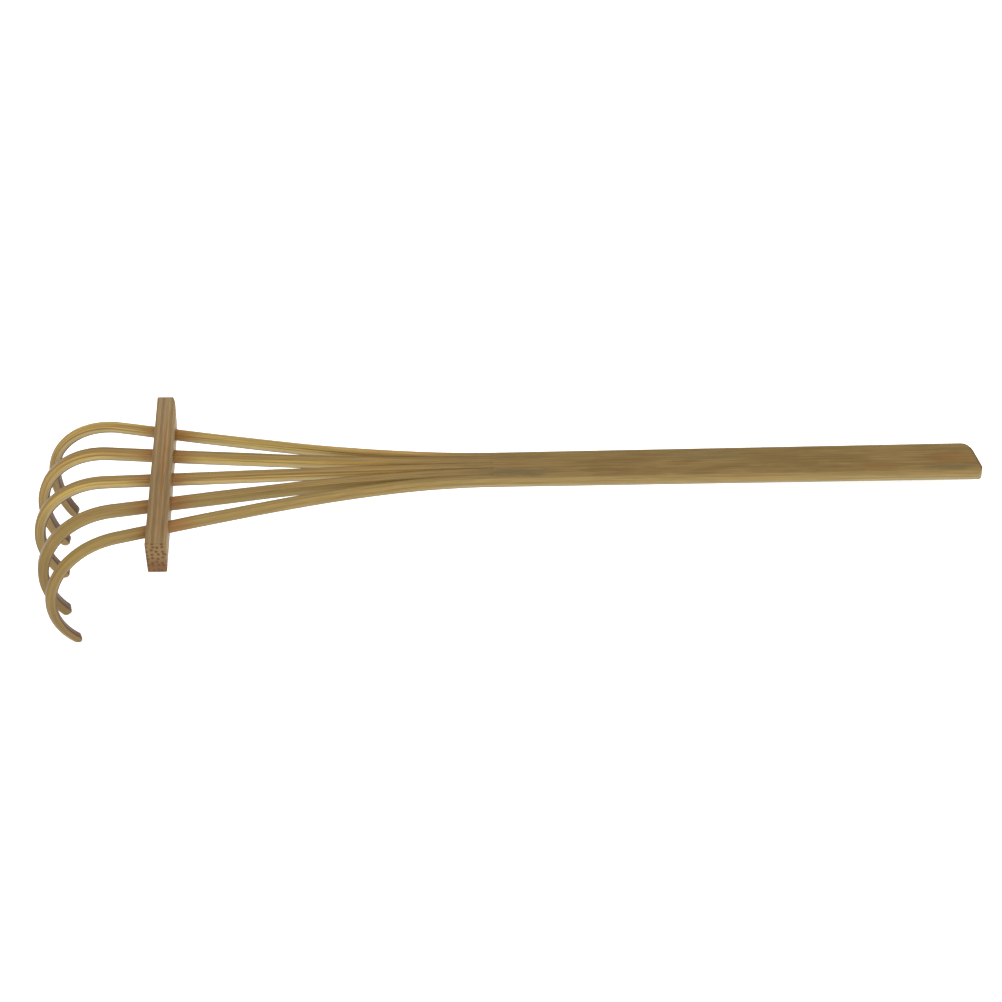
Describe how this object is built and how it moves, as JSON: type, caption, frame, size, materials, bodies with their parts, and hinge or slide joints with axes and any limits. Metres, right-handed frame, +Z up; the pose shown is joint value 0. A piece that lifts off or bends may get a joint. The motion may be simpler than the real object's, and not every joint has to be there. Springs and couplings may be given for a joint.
{
  "type": "bamboo back scratcher",
  "caption": "Flat bamboo strip handle split at one end into slender tines with hooked tips, held apart by a slotted bamboo cross-bar.",
  "frame": {"origin": "on the surface it lies on, under the middle of its length and width", "axes": "+X from the hooks to the handle's free end, +Y across, towards tine_1, +Z up; it lies on its hook tips and its handle end"},
  "size_m": [0.4046, 0.0936, 0.0567],
  "materials": {
    "handle_bamboo": "satin",
    "tine_bamboo": "satin",
    "bar_bamboo": "matte"
  },
  "bodies": {
    "root": {"handle": "handle_bamboo", "tine_1": "tine_bamboo", "tine_2": "tine_bamboo", "tine_3": "tine_bamboo", "tine_4": "tine_bamboo", "tine_5": "tine_bamboo", "spreader_bar": "bar_bamboo"}
  },
  "joints": []
}
